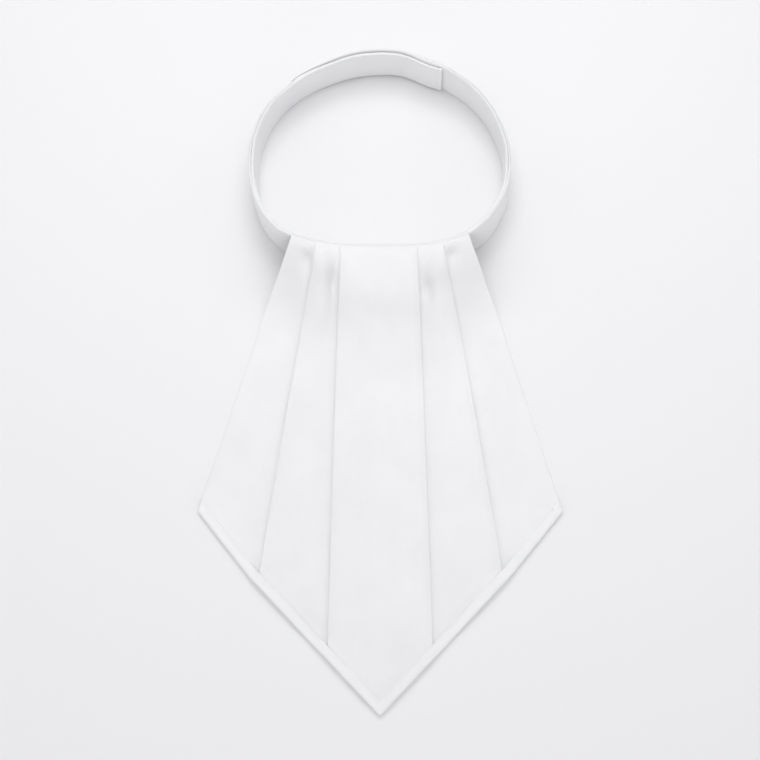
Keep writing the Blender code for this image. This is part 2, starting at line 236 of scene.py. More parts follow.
# The outline of the lower edge, from the left corner to the point to the right corner
LOWER_EDGE = [
    {"name": "left corner", "x": -CORNER_X, "from_point": 101.0},
    {"name": "left pleat end", "x": -64.3, "from_point": 66.5},
    {"name": "point", "x": 0.0, "from_point": -2.1},
    {"name": "right pleat end", "x": 64.2, "from_point": 66.9},
    {"name": "right corner", "x": CORNER_X, "from_point": 100.6},
]

# Hollows (deep above 0) and swells (deep below 0) of single panels, by x and how far ahead of the band
PANEL_HOLLOWS = [
    {"panel": "left side", "x": -37.0, "ahead": 9.0, "wide": 4.6, "long": 4.4, "deep": 3.0},
    {"panel": "left side", "x": -37.0, "ahead": 22.0, "wide": 5.0, "long": 6.0, "deep": -1.0},
    {"panel": "left side", "x": -48.0, "ahead": 30.0, "wide": 7.0, "long": 9.0, "deep": 0.7},
    {"panel": "left pleat", "x": -23.2, "ahead": 16.5, "wide": 3.4, "long": 5.2, "deep": 2.2},
    {"panel": "left pleat", "x": -30.0, "ahead": 26.0, "wide": 4.0, "long": 10.0, "deep": -0.6},
    {"panel": "centre", "x": 0.0, "ahead": 22.0, "wide": 8.0, "long": 16.0, "deep": 0.6},
    {"panel": "right pleat", "x": 23.6, "ahead": 20.0, "wide": 3.6, "long": 5.0, "deep": 2.6},
    {"panel": "right pleat", "x": 29.5, "ahead": 33.0, "wide": 4.0, "long": 9.0, "deep": -0.6},
    {"panel": "right side", "x": 37.0, "ahead": 7.0, "wide": 4.2, "long": 4.2, "deep": 2.6},
    {"panel": "right side", "x": 41.0, "ahead": 25.0, "wide": 5.0, "long": 7.0, "deep": -0.8},
    {"panel": "right side", "x": 50.0, "ahead": 31.0, "wide": 7.0, "long": 9.0, "deep": 0.6},
]

# Where the pleats stand open near the neckband: how far ahead of it, over what length and how much higher
OPEN_PLEATS = [
    {"fold": "left outer pleat", "ahead": 10.0, "long": 7.0, "higher": 2.1},
    {"fold": "left inner pleat", "ahead": 19.0, "long": 9.0, "higher": 1.7},
    {"fold": "right inner pleat", "ahead": 21.0, "long": 9.0, "higher": 1.9},
    {"fold": "right outer pleat", "ahead": 8.5, "long": 6.5, "higher": 1.9},
]

# Long soft ridges of the whole bib where it lies flat: middle, half length, half width, turn and height
RIDGES = [
    {"x": -52.0, "y": -18.0, "long": 26.0, "wide": 7.0, "turn": 68.0, "high": 1.4},
    {"x": -40.0, "y": -62.0, "long": 20.0, "wide": 9.0, "turn": 60.0, "high": 1.0},
    {"x": -31.0, "y": -36.0, "long": 30.0, "wide": 6.0, "turn": 84.0, "high": 1.2},
    {"x": -70.0, "y": -58.0, "long": 22.0, "wide": 8.0, "turn": 78.0, "high": 1.0},
    {"x": -12.0, "y": -70.0, "long": 36.0, "wide": 10.0, "turn": 92.0, "high": 0.8},
    {"x": -18.0, "y": -110.0, "long": 24.0, "wide": 8.0, "turn": 108.0, "high": 1.0},
    {"x": 13.0, "y": -88.0, "long": 32.0, "wide": 9.0, "turn": 82.0, "high": 0.8},
    {"x": 4.0, "y": -134.0, "long": 16.0, "wide": 11.0, "turn": 20.0, "high": 0.8},
    {"x": 30.0, "y": -52.0, "long": 28.0, "wide": 6.5, "turn": 96.0, "high": 1.2},
    {"x": 46.0, "y": -74.0, "long": 22.0, "wide": 8.0, "turn": 118.0, "high": 1.0},
    {"x": 55.0, "y": -22.0, "long": 24.0, "wide": 7.0, "turn": 108.0, "high": 1.4},
    {"x": 72.0, "y": -56.0, "long": 20.0, "wide": 8.0, "turn": 100.0, "high": 1.0},
]

# How finely the cloths are divided
FIRST_ROWS = [-SEWN_OVER, -0.55, -0.35, -0.1, 0.2, 0.6, 1.0, 1.5, 2.2, 3.0, 4.0]
NEAR_END = 46.0
NEAR_STEP = 1.2
FAR_STEP = 2.2
FOLD_STEPS = 7
PANELS = {"left side": 18, "left pleat": 20, "centre": 44, "right pleat": 20, "right side": 18}
EDGE_FACETS = 4
BAND_STATION = 1.3
HEM_STATION = 1.1
PLAN_MARKS = 41
SHARPEST_HALF_TURN = 0.7


def smooth(value):
    """0 below 0, 1 above 1 and an even S between them."""
    t = np.clip(value, 0.0, 1.0)
    return t * t * (3.0 - 2.0 * t)


def hump(offset):
    """1 at no offset, falling off softly to nothing past an offset of 2."""
    return np.exp(-(np.asarray(offset) ** 2))


def swells(rows, place):
    """The sum of a table's soft swells at this place along a strip."""
    return sum(row["thick"] * hump((place - row["at"]) / row["reach"]) for row in rows)


def rounded_off(from_end, radius):
    """1 at an end, falling to 0 at radius from it as a quarter circle does."""
    return 1.0 - np.sqrt(max(1.0 - (1.0 - min(from_end / radius, 1.0)) ** 2, 0.0))


def lengths_along(points):
    """How far along a line each of its points lies."""
    return np.concatenate([[0.0], np.cumsum(np.hypot(*np.diff(points, axis=0).T))])


class Waves:
    """Soft uneven waves over a plane or along a line: a few sines of seeded lengths and directions."""

    def __init__(self, seed, shortest, longest, count=9):
        draw = np.random.default_rng(seed)
        lengths = np.exp(draw.uniform(np.log(shortest), np.log(longest), count))
        turns = draw.uniform(0.0, 2.0 * np.pi, count)
        self.along_x = 2.0 * np.pi * np.cos(turns) / lengths
        self.along_y = 2.0 * np.pi * np.sin(turns) / lengths
        self.starts = draw.uniform(0.0, 2.0 * np.pi, count)
        self.sizes = np.sqrt(lengths / longest) / np.sqrt(count)

    def at(self, x, y=0.0):
        x, y = np.broadcast_arrays(np.asarray(x, float), np.asarray(y, float))
        phase = x[..., None] * self.along_x + y[..., None] * self.along_y + self.starts
        return (np.sin(phase) * self.sizes).sum(axis=-1)


# Making the meshes


def lofted(name, rings, flat, caps):
    """A closed cloth wall through rings of points, with its place on the flat cut as its UV map.

    rings is rows by points by 3, flat is rows by points by 2, both in millimetres. caps is "strips" where a
    ring's first half lies over its second half turned round, or "faces" where a ring's end is one face.
    """
    rows, count, _ = rings.shape
    index = np.arange(rows * count).reshape(rows, count)
    following = np.roll(index, -1, axis=1)
    quads = np.stack([index[:-1], following[:-1], following[1:], index[1:]], axis=-1).reshape(-1, 4)
    faces = quads.tolist()
    for ring in (index[0], index[-1]):
        if caps == "faces":
            faces.append(ring.tolist())
        else:
            half = count // 2
            faces += [[ring[i], ring[i + 1], ring[-i - 2], ring[-i - 1]] for i in range(half - 1)]
    mesh = bpy.data.meshes.new(name)
    mesh.from_pydata((rings.reshape(-1, 3) * MM).tolist(), [], faces)
    lay = mesh.uv_layers.new(name="cut")
    corners = np.zeros(len(mesh.loops), dtype=np.int32)
    mesh.loops.foreach_get("vertex_index", corners)
    lay.data.foreach_set("uv", (flat.reshape(-1, 2)[corners] * MM).ravel())
    shape = bmesh.new()
    shape.from_mesh(mesh)
    bmesh.ops.recalc_face_normals(shape, faces=shape.faces)
    shape.to_mesh(mesh)
    shape.free()
    mesh.shade_smooth()
    piece = bpy.data.objects.new(name, mesh)
    bpy.context.scene.collection.objects.link(piece)
    return piece


def round_ended(line, thickness):
    """A line of cloth given its thickness: upper side, rounded end, lower side, rounded end.

    line is points by 2. The upper side is on the left hand of someone walking along the line.
    """
    before = np.vstack([line[:1], line[:-1]])
    after = np.vstack([line[1:], line[-1:]])
    into, out = line - before, after - line
    into[0], out[-1] = out[0], into[-1]
    into /= np.linalg.norm(into, axis=1)[:, None]
    out /= np.linalg.norm(out, axis=1)[:, None]
    halfway = into + out
    halfway /= np.linalg.norm(halfway, axis=1)[:, None]
    stretch = 1.0 / np.maximum((halfway * into).sum(axis=1), SHARPEST_HALF_TURN)
    half = np.broadcast_to(np.asarray(thickness, float) / 2, len(line))
    side = np.stack([-halfway[:, 1], halfway[:, 0]], axis=-1)
    offset = side * (half * stretch)[:, None]
    angles = np.linspace(0.0, np.pi, EDGE_FACETS + 1)[1:-1]
    far = [line[-1] + half[-1] * (side[-1] * np.cos(a) + out[-1] * np.sin(a)) for a in angles]
    near = [line[0] - half[0] * (side[0] * np.cos(a) + into[0] * np.sin(a)) for a in angles]
    return np.vstack([line + offset, far, (line - offset)[::-1], near])


def round_ended_places(places):
    """The places along the line of the points that round_ended makes."""
    extra = EDGE_FACETS - 1
    ends = [np.full(extra, places[-1]), np.full(extra, places[0])]
    return np.concatenate([places, ends[0], places[::-1], ends[1]])


# Neckband


def ring_outline(angle):
    """A point of the ring's outer outline, and the direction square to it, at this angle in radians."""
    c, s = np.cos(angle), np.sin(angle)
    front = s < 0.0
    power = np.where(front, RING_FRONT_SQUARENESS, 2.0)
    half_width = RING_WIDTH / 2
    depth = np.where(front, RING_FRONT_DEPTH, RING_BACK_DEPTH)
    x = half_width * np.sign(c) * np.abs(c) ** (2.0 / power)
    y = depth * np.sign(s) * np.abs(s) ** (2.0 / power)
    normal_x = np.sign(x) * np.abs(x / half_width) ** (power - 1.0) / half_width
    normal_y = np.sign(y) * np.abs(y / depth) ** (power - 1.0) / depth
    length = np.hypot(normal_x, normal_y)
    point = np.stack([x, RING_CENTRE_Y + y], axis=-1)
    return point, np.stack([normal_x / length, normal_y / length], axis=-1)


def back_angle(x):
    """The angle at which the back of the ring's outline has this x."""
    return np.arccos(x / (RING_WIDTH / 2))


def front_of_ring(x):
    """The point on the front of the ring's outline with this x, and the direction square to it."""
    cosine = np.sign(x) * np.abs(x / (RING_WIDTH / 2)) ** (RING_FRONT_SQUARENESS / 2.0)
    return ring_outline(-np.arccos(cosine))


class BandRoute:
    """The ring's outline measured along its length, from the tab's end round to the outer end."""

    def __init__(self):
        start = back_angle(TAB_END_X)
        end = back_angle(OUTER_END_X) + 2.0 * np.pi
        self.angles = np.linspace(start, end, 6001)
        points, _ = ring_outline(self.angles)
        self.lengths = lengths_along(points)
        self.total = self.lengths[-1]
        self.turn = np.interp(start + 2.0 * np.pi, self.angles, self.lengths)
        self.lap = self.total - self.turn

    def angle_at(self, length):
        return np.interp(length, self.lengths, self.angles)

    def at(self, length):
        return ring_outline(self.angle_at(length))


def lean(angle):
    """How far the ring stands out of its outline at its top and at its foot, at this angle in radians."""
    rows = np.array([[row["angle"], row["top"], row["foot"]] for row in LEANS])
    apart = (np.degrees(angle) - rows[:, 0] + 180.0) % 360.0 - 180.0
    share = hump(apart / 11.0)
    return rows[:, 1:].T @ share / share.sum()


def band_section(thickness, lift, shrink, closed, flat):
    """The folded strip's cloth as a round-ended line, as (outward, up) points, and their places along it.

    It runs from the outer layer's turned top edge down the outside, round the fold at the bottom and up
    the inside to the inner layer's turned top edge, which stands a little higher. closed shuts the groove
    between the two turned edges and flat levels them, where the bib is sewn on and at the lap.
    """
    cloth = thickness * CLOTH_SHARE
    reach = thickness / 2 - cloth / 2
    size = thickness / BAND_THICKNESS
    top = BAND_HEIGHT - cloth / 2
    bottom = lift + cloth / 2
    rise = np.linspace(0.0, 1.0, WALL_POINTS)
    lower = OUTER_EDGE_LOWER * size * (1.0 - flat)
    outer_up = bottom + reach + (top - lower - TURN_DROP * size - bottom - reach) * rise
    inner_up = bottom + reach + (top - TURN_DROP * size - bottom - reach) * rise
    bow = BAND_CROWN * np.sin(np.pi * rise)
    fold = np.radians(np.linspace(180.0, 360.0, WALL_POINTS))[1:-1]
    edge = (1.0 - flat) * np.array(TURNED_EDGE) + flat * np.array(FLAT_EDGE)
    shut = closed * (reach * edge[1][0] - cloth * TURN_SHARE / 2 - SEAM_GAP * (1.0 - 2.0 * flat))
    turned = [(reach * across - shut, top + up * size) for across, up in edge]
    line = [(across, up - lower) for across, up in turned]
    line += [(reach + b, z) for b, z in zip(bow[::-1], outer_up[::-1])]
    line += [(-reach * np.cos(a), bottom + reach + reach * np.sin(a)) for a in fold]
    line += [(-reach - b, z) for b, z in zip(bow, inner_up)]
    line += [(-across, up) for across, up in turned[::-1]]
    line = np.array(line) * [1.0 - shrink, 1.0]
    count = len(turned)
    share = np.ones(len(line))
    share[:count] = share[-count:] = TURN_SHARE
    thicknesses = cloth * share * (1.0 - 0.6 * shrink)
    return round_ended(line, thicknesses), round_ended_places(lengths_along(line))


def outer_lap_thickness(past_tab, lap):
    """The outer strip's thickness this far past the tab's end, up to its own end at the lap's length."""
    thinned = smooth((past_tab - LAP_THINS_AT) / LAP_THINS_OVER)
    ended = smooth((past_tab - lap + LAP_END_THINS_OVER) / LAP_END_THINS_OVER)
    thick = BAND_THICKNESS + (OUTER_LAPPED_THICKNESS - BAND_THICKNESS) * thinned
    thick += (END_THICKNESS - OUTER_LAPPED_THICKNESS) * ended
    return thick + swells(LAP_SWELLS, past_tab)


def band_stations(route):
    """The lengths at which the neckband has a ring of points, closer together at its two rounded ends."""
    even = np.linspace(0.0, route.total, int(round(route.total / BAND_STATION)) + 1)[1:-1]
    near = END_ROUND * (1.0 - np.sin(np.radians([0.0, 30.0, 60.0, 90.0])))
    return np.concatenate([near[::-1], even[even > END_ROUND][:-1], route.total - near])


class Strip:
    """The neckband's strip at one length along it."""

    def __init__(self, route, length):
        over_tab = length > route.turn - FOOT_KICK_REACH
        self.on_tab = length < route.lap
        self.opening = smooth((length - route.lap) / OPENING_LENGTH)
        self.apart = smooth((route.lap - length) / GAP_ENDS_OVER)
        self.apart *= smooth((length + GAP_FROM_TAB) / GAP_STARTS_OVER)
        self.covering = smooth((length - route.turn + COVERING_FROM) / COVERING_OVER) * over_tab
        gap = LAP_GAP + LAP_STANDS_OPEN * self.apart
        over_it = outer_lap_thickness(min(length, route.lap), route.lap)
        self.stands_in = (over_it + gap) * (1.0 - self.opening)
        if over_tab:
            self.thickness = outer_lap_thickness(length - route.turn, route.lap)
        else:
            room = max(BAND_THICKNESS - gap - over_it, LAPPED_THICKNESS)
            end_share = TAB_END_SHARE + (1.0 - TAB_END_SHARE) * smooth(length / TAB_END_OVER)
            lapped = LAPPED_THICKNESS * end_share
            lapped += smooth(length / TAB_FILLS_OVER) * (room - LAPPED_THICKNESS)
            self.thickness = lapped + (BAND_THICKNESS - lapped) * self.opening
        lifted = 1.0 - smooth((length - route.lap + LIFT_ENDS_BEFORE) / LIFT_ENDS_OVER)
        self.lift = TAB_LIFT * lifted
        lowered = smooth((route.lap - length) / TAB_LOWER_OVER) * smooth(length / TAB_LOWER_FROM_END)
        self.lower = TAB_LOWER * lowered + OUTER_STRIP_LOWER * self.covering
        self.lower += TAB_CORNER * rounded_off(length, TAB_CORNER_REACH)
        self.stands_out = self.covering * smooth((route.total - length) / STANDS_OUT_OVER)
        self.stands_out = OUTER_STRIP_STANDS_OUT * (self.stands_out + self.apart * self.on_tab)


def make_neckband():
    """A strip folded lengthwise, standing as a ring, its ends lapped at the back."""
    route = BandRoute()
    waver = Waves(seed=3, shortest=30.0, longest=140.0)
    pucker = Waves(seed=5, shortest=4.0, longest=9.0)
    rings, flats = [], []
    for length in band_stations(route):
        strip = Strip(route, length)
        point, normal = route.at(length)
        bib_side = smooth((BIB_HALF_WIDTH - abs(point[0])) / BIB_SIDE_OVER) * (point[1] < RING_CENTRE_Y)
        in_front = smooth((RING_CENTRE_Y - point[1]) / FRONT_OVER)
        under_strip = (1.0 - strip.opening) * strip.on_tab
        flat = max(bib_side, in_front, under_strip, COVERING_FLAT * strip.covering)
        shrink = rounded_off(min(length, route.total - length), END_ROUND) * END_NARROWS
        section, places = band_section(strip.thickness, strip.lift, shrink, max(flat, EDGES_MEET), flat)
        across, up = section.T
        height = (up - strip.lift) / BAND_HEIGHT
        free = 1.0 - bib_side
        full = min(strip.thickness / BAND_THICKNESS, 1.0)
        waves_up = (TOP_WAVER * waver.at(length) + TOP_PUCKER * pucker.at(length)) * free
        up = up + (waves_up - strip.lower) * smooth(height * 2.0 - 1.0)
        sway = SWAY * waver.at(length + 300.0) * (0.3 + 0.7 * height) * full * free
        rim = EDGE_PUCKER * pucker.at(length, 40.0) * hump((height - 0.88) / 0.1)
        rolls = np.sign(across) * swells(TAB_END_ROLLS, length) * strip.on_tab
        kick = FOOT_KICK * hump(length / FOOT_KICK_REACH) * (1.0 - height)
        top_lean, foot_lean = lean(route.angle_at(length))
        stand = foot_lean + (top_lean - foot_lean) * height
        outward = across + rolls + sway + rim + stand + strip.stands_out - kick
        outward = outward - strip.stands_in - strip.thickness / 2
        rings.append(np.column_stack([point + normal * outward[:, None], up]))
        flats.append(np.column_stack([np.full(len(places), length), places]))
    piece = lofted("neckband_cloth", np.array(rings), np.array(flats), "faces")
    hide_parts("neckband")
    return piece


# Bib


def side_edge_direction(edge, corner):
    """From a side corner of the bib up along its side edge."""
    top, _ = front_of_ring(np.array(edge["top_x"]))
    return np.array([edge["straight_x"], top[1]]) - corner


def lower_edge(inset):
    """The lower edge's points moved into the bib by inset. Its two ends slide along the side edges."""
    points = np.array([(row["x"], POINT_Y + row["from_point"]) for row in LOWER_EDGE])
    along = np.diff(points, axis=0)
    along /= np.hypot(*along.T)[:, None]
    inward = np.stack([-along[:, 1], along[:, 0]], axis=-1)
    slides = [side_edge_direction(FOLD_LINES[0], points[0])]
    slides += [before + after for before, after in zip(inward, inward[1:])]
    slides.append(side_edge_direction(FOLD_LINES[-1], points[-1]))
    squares = np.vstack([inward, inward[-1:]])
    moved = [
        point + slide * inset / np.dot(slide, square)
        for point, slide, square in zip(points, slides, squares)
    ]
    return np.array(moved)


def fallen(part):
    """The share of its fall that the cloth has done at this part of its reach, and how steep it is there."""
    steepest = 1.0 / (1.0 - (FALL_START + FALL_LANDING) / 2)
    start = np.minimum(part, FALL_START)
    middle = np.clip(part - FALL_START, 0.0, 1.0 - FALL_START - FALL_LANDING)
    landing = np.clip(part - 1.0 + FALL_LANDING, 0.0, FALL_LANDING)
    rounded = start ** 2 / (2.0 * FALL_START) + landing - landing ** 2 / (2.0 * FALL_LANDING)
    steepness = np.minimum(np.minimum(part / FALL_START, (1.0 - part) / FALL_LANDING), 1.0)
    return steepest * (rounded + middle), steepest * steepness


class BibPlan:
    """Where the bib's cloth lies, row by row and line by line, before its pleats are raised."""

    def __init__(self):
        self.marks = np.linspace(-1.0, 1.0, PLAN_MARKS)
        known = np.linspace(-1.0, 1.0, len(FOLD_LINES))
        self.top_x = np.interp(self.marks, known, [row["top_x"] for row in FOLD_LINES])
        self.straight_x = np.interp(self.marks, known, [row["straight_x"] for row in FOLD_LINES])
        hem_line = lower_edge(HEM_WIDTH - INTO_HEM)
        hem_x = [row["hem_x"] for row in FOLD_LINES]
        hem_x[0], hem_x[-1] = hem_line[0, 0], hem_line[-1, 0]
        self.hem_x = np.interp(self.marks, known, hem_x)
        self.fold_marks = known
        self.hem_y = np.interp(self.hem_x, hem_line[:, 0], hem_line[:, 1])
        points, self.normals = front_of_ring(self.top_x)
        self.top_y = points[:, 1]
        self.run = np.hypot(self.hem_x - self.straight_x, self.hem_y - self.top_y)
        self.reach = FALL_CENTRE + (FALL_SIDE - FALL_CENTRE) * smooth(np.abs(self.marks))
        count = int(round((NEAR_END - FIRST_ROWS[-1]) / NEAR_STEP))
        near = np.linspace(FIRST_ROWS[-1], NEAR_END, count + 1)[1:]
        rows = [np.full(len(self.marks), ahead) for ahead in [*FIRST_ROWS, *near]]
        count = int(round((self.run.max() - NEAR_END) / FAR_STEP))
        parts = np.linspace(0.0, 1.0, count + 1)[1:]
        self.rows = rows + [NEAR_END + (self.run - NEAR_END) * part for part in parts]

    def ground(self, distance):
        """The x and y of a row at this distance in front of the neckband, for each mark."""
        if distance[0] < 0.0:
            return self.top_x + self.normals[:, 0] * distance, self.top_y + self.normals[:, 1] * distance
        part = distance / self.run
        done, _ = fallen(np.clip(distance / self.reach, 0.0, 1.0))
        pull = (self.top_x - self.straight_x) * (1.0 - done)
        x = self.straight_x + (self.hem_x - self.straight_x) * part + pull
        return x, self.top_y + (self.hem_y - self.top_y) * part

    def fall(self, distance):
        """The height of the cloth's middle over the surface and the slope it falls at, for each mark."""
        done, steepness = fallen(np.clip(distance / self.reach, 0.0, 1.0))
        over_hem = smooth(1.0 - (self.run - distance - INTO_HEM) / 6.0)
        height = CLOTH / 2 + SEAT * (1.0 - done) + (HEM_CLOTH + 0.15) * over_hem
        return height, np.arctan(steepness * SEAT / self.reach)


def pleat_curve(turn, tilt, lift, depth, radius):
    """The S of a pleat, outward and up, from its fold, where the cloth tilts outward, to the panel below."""
    if turn < np.radians(FLAT_TURN):
        straight = (lift - 2.0 * radius * (1.0 - np.cos(turn))) / np.sin(turn)
    else:
        straight = depth
    straight = max(straight, SHORTEST_STEP)
    toward = np.array([np.cos(turn), -np.sin(turn)])
    aside = np.array([np.sin(turn), np.cos(turn)])
    upper = np.array([0.0, lift - radius])
    lower = upper + 2.0 * radius * aside + straight * toward
    first_angles = np.linspace(tilt, turn, FOLD_STEPS + 1)
    second_angles = np.linspace(turn, 0.0, FOLD_STEPS + 1)
    first = [upper + radius * np.array([np.sin(a), np.cos(a)]) for a in first_angles]
    second = [lower - radius * np.array([np.sin(a), np.cos(a)]) for a in second_angles]
    between = [first[-1] + (second[0] - first[-1]) * part for part in (0.25, 0.5, 0.75)]
    return np.array(first + between + second)


def side_panel(edge_x, low, count):
    """The flat panel from a side edge to the pleat that covers it."""
    part = np.linspace(0.0, 1.0, count + 1)[:-1]
    return np.stack([edge_x + (low[0] - edge_x) * part, np.zeros(count)], axis=-1)


def rolled(from_fold, roll):
    """How far a panel has come up from its fold's soft roll."""
    return roll["high"] * np.sin(np.pi / 2 * np.clip(from_fold / roll["reach"], 0.0, 1.0))


def pleat_panel(raised, covering_x, covered, roll, count):
    """A panel that rolls up from its own fold and comes down before the fold that covers it."""
    toward = np.sign(covering_x - raised[0])
    width = abs(covering_x - raised[0]) - FOLD_CLEARANCE
    from_fold = width * np.linspace(0.0, 1.0, count + 1)[1:] ** 1.35
    covered = min(covered, width - STEEPEST_FALL)
    kept = 1.0 - smooth((from_fold - covered) / (width - covered))
    return np.stack([raised[0] + toward * from_fold, (raised[1] + rolled(from_fold, roll)) * kept], axis=-1)


def centre_panel(left, right, covered, roll, sag, count):
    """The middle panel, rolled up from both folds and sagging a little between the pleats beneath it."""
    part = np.linspace(0.0, 1.0, count + 2)[1:-1]
    part -= 0.06 * np.sin(2.0 * np.pi * part)
    x = left[0] + (right[0] - left[0]) * part
    from_fold = np.minimum(x - left[0], right[0] - x)
    reach = np.maximum((right[0] - left[0]) / 2 - covered, 1.0)
    high = left[1] + (right[1] - left[1]) * part + rolled(from_fold, roll)
    return np.stack([x, high - (sag + roll["high"]) * smooth((from_fold - covered) / reach)], axis=-1)


def hollowed(name, line, distance, shown):
    """The panel's line lowered by the hollows and, where it shows, raised by the swells placed on it."""
    part = np.linspace(0.0, 1.0, len(line))
    held = smooth(part / 0.12) * smooth((1.0 - part) / 0.12)
    low, high = shown
    clear = smooth((line[:, 0] - low) / 2.5) * smooth((high - line[:, 0]) / 2.5)
    deep = np.zeros(len(line))
    for row in PANEL_HOLLOWS:
        if row["panel"] == name:
            across = hump((line[:, 0] - row["x"]) / row["wide"])
            here = row["deep"] * across * hump((distance - row["ahead"]) / row["long"])
            deep += here * (held if row["deep"] > 0.0 else clear)
    return np.column_stack([line[:, 0], line[:, 1] - deep])


def row_line(distance, from_hem, x_of_folds):
    """The row's folded line of cloth, as (x, height over the plain cloth) points from left to right."""
    ahead = max(distance, 0.0)
    opening = smooth(ahead / PLEAT_OPENS_AT)
    pressed = smooth(1.0 - from_hem / PRESSED_BEFORE_HEM)
    turn = np.radians(NECK_TURN + (180.0 - NECK_TURN) * opening)
    radius = FOLD_RADIUS + (FOLD_RADIUS_AT_HEM - FOLD_RADIUS) * pressed
    lift = NECK_STEP + (4.0 * radius - NECK_STEP) * smooth(2.0 * ahead / PLEAT_OPENS_AT)
    lift *= PRESSED_INTO_SEAM + (1.0 - PRESSED_INTO_SEAM) * smooth(1.0 + min(distance, 0.0) / SEWN_OVER)
    deepening = smooth((ahead - PLEAT_OPENS_AT) / (PLEAT_FULL_AT - PLEAT_OPENS_AT))
    reach = ROLL_REACH + (ROLL_REACH_AT_HEM - ROLL_REACH) * pressed
    roll = {"high": ROLL_HEIGHT * opening * (1.0 - 0.35 * pressed), "reach": reach}
    tilt = np.arctan(roll["high"] * np.pi / 2 / reach)
    left_edge, _, left_inner, right_inner, _, right_edge = x_of_folds
    pleats = []
    for fold, place, x in zip(FOLD_LINES[1:-1], OPEN_PLEATS, x_of_folds[1:-1]):
        side = np.sign(x)
        open_by = place["higher"] * opening * hump((ahead - place["ahead"]) / place["long"])
        wider = radius + open_by / 4.0
        curve = pleat_curve(turn, tilt, lift + open_by, fold["depth"] * deepening, wider)
        points = np.stack([x + side * (curve[:, 0] - wider - CLOTH / 2), curve[:, 1]], axis=-1)
        pleats.append(points[::-1] if side < 0 else points)
    outer_left, inner_left, inner_right, outer_right = pleats
    covered = [fold["depth"] * deepening + PLEAT_CLEARANCE for fold in FOLD_LINES]
    sag = CENTRE_SAG * lift / (4.0 * FOLD_RADIUS)
    count = PANELS
    left = pleat_panel(outer_left[-1], left_inner, covered[1], roll, count["left pleat"])
    right = pleat_panel(outer_right[0], right_inner, covered[4], roll, count["right pleat"])[::-1]
    centre = centre_panel(inner_left[-1], inner_right[0], covered[2], roll, sag, count["centre"])
    panels = {
        "left side": side_panel(left_edge, outer_left[0], count["left side"]),
        "left pleat": left,
        "centre": centre,
        "right pleat": right,
        "right side": side_panel(right_edge, outer_right[-1], count["right side"])[::-1],
    }
    whole = []
    for number, (name, line) in enumerate(panels.items()):
        whole.append(hollowed(name, line, ahead, x_of_folds[number:number + 2]))
        whole += pleats[number:number + 1]
    return np.concatenate(whole)


def ridge_height(x, y):
    """How far the whole bib is raised off the surface here by its long soft ridges."""
    high = np.zeros(np.shape(x))
    for row in RIDGES:
        c, s = np.cos(np.radians(row["turn"])), np.sin(np.radians(row["turn"]))
        along = (x - row["x"]) * c + (y - row["y"]) * s
        across = -(x - row["x"]) * s + (y - row["y"]) * c
        high += row["high"] * hump(along / row["long"]) * hump(across / row["wide"])
    return high


def make_bib():
    """The bib's piece, and the points of its upper side in the row that lies under the hem."""
    plan = BibPlan()
    ripple = Waves(seed=11, shortest=14.0, longest=60.0, count=12)
    edge_waver = Waves(seed=17, shortest=12.0, longest=60.0)
    rings, flats = [], []
    for distance in plan.rows:
        ahead = distance[0]
        ground_x, ground_y = plan.ground(distance)
        height, slope = plan.fall(distance)
        x_of_folds = np.interp(plan.fold_marks, plan.marks, ground_x)
        x_of_folds[[0, -1]] += EDGE_WAVER * edge_waver.at(ahead, [0.0, 90.0]) * smooth(ahead / 30.0)
        line = row_line(float(ahead), float((plan.run - distance).min()), x_of_folds)
        places = lengths_along(line)
        places -= places[len(places) // 2]
        thin = THINNEST + (1.0 - THINNEST) * smooth(1.0 + ahead / SEWN_OVER)
        dip = SEAM_DIP * (1.0 - smooth((ahead + SEWN_OVER) / SEAM_DIP_OVER))
        x, over = round_ended(line, CLOTH * thin).T
        values = (ground_y, height, np.sin(slope), np.cos(slope), distance, plan.run - distance)
        middle_y, middle_z, sine, cosine, along, to_hem = (np.interp(x, ground_x, row) for row in values)
        y = middle_y - over * sine
        z = middle_z + over * cosine - CLOTH / 2 * (1.0 - thin) - dip
        settled = smooth(along / 40.0) * smooth(to_hem / 14.0)
        rough = np.maximum(1.0 + ripple.at(x, y), 0.0)
        z = z + settled * (ridge_height(x, y) + RIPPLE * rough)
        rings.append(np.column_stack([x, y, z]))
        flats.append(np.column_stack([round_ended_places(places), along]))
    rings, flats = np.array(rings), np.array(flats)
    piece = lofted("bib_cloth", rings, flats, "strips")
    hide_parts("bib")
    return piece, rings[-1][:len(line)]


# Hem


def hem_line(inset, places):
    """The hem's line at this inset from the lower edge, at each place along it, its bends just eased."""
    corners = lower_edge(inset)
    order = np.arange(len(corners))
    fine = np.linspace(0.0, order[-1], 1201)
    line = np.column_stack([np.interp(fine, order, corners[:, axis]) for axis in (0, 1)])
    reach = 5
    padded = np.vstack([line[:1].repeat(reach, 0), line, line[-1:].repeat(reach, 0)])
    kernel = np.hanning(2 * reach + 3)[1:-1]
    kernel /= kernel.sum()
    eased = np.column_stack([np.convolve(padded[:, axis], kernel, "valid") for axis in (0, 1)])
    eased[0], eased[-1] = line[0], line[-1]
    return np.column_stack([np.interp(places, fine, eased[:, axis]) for axis in (0, 1)])


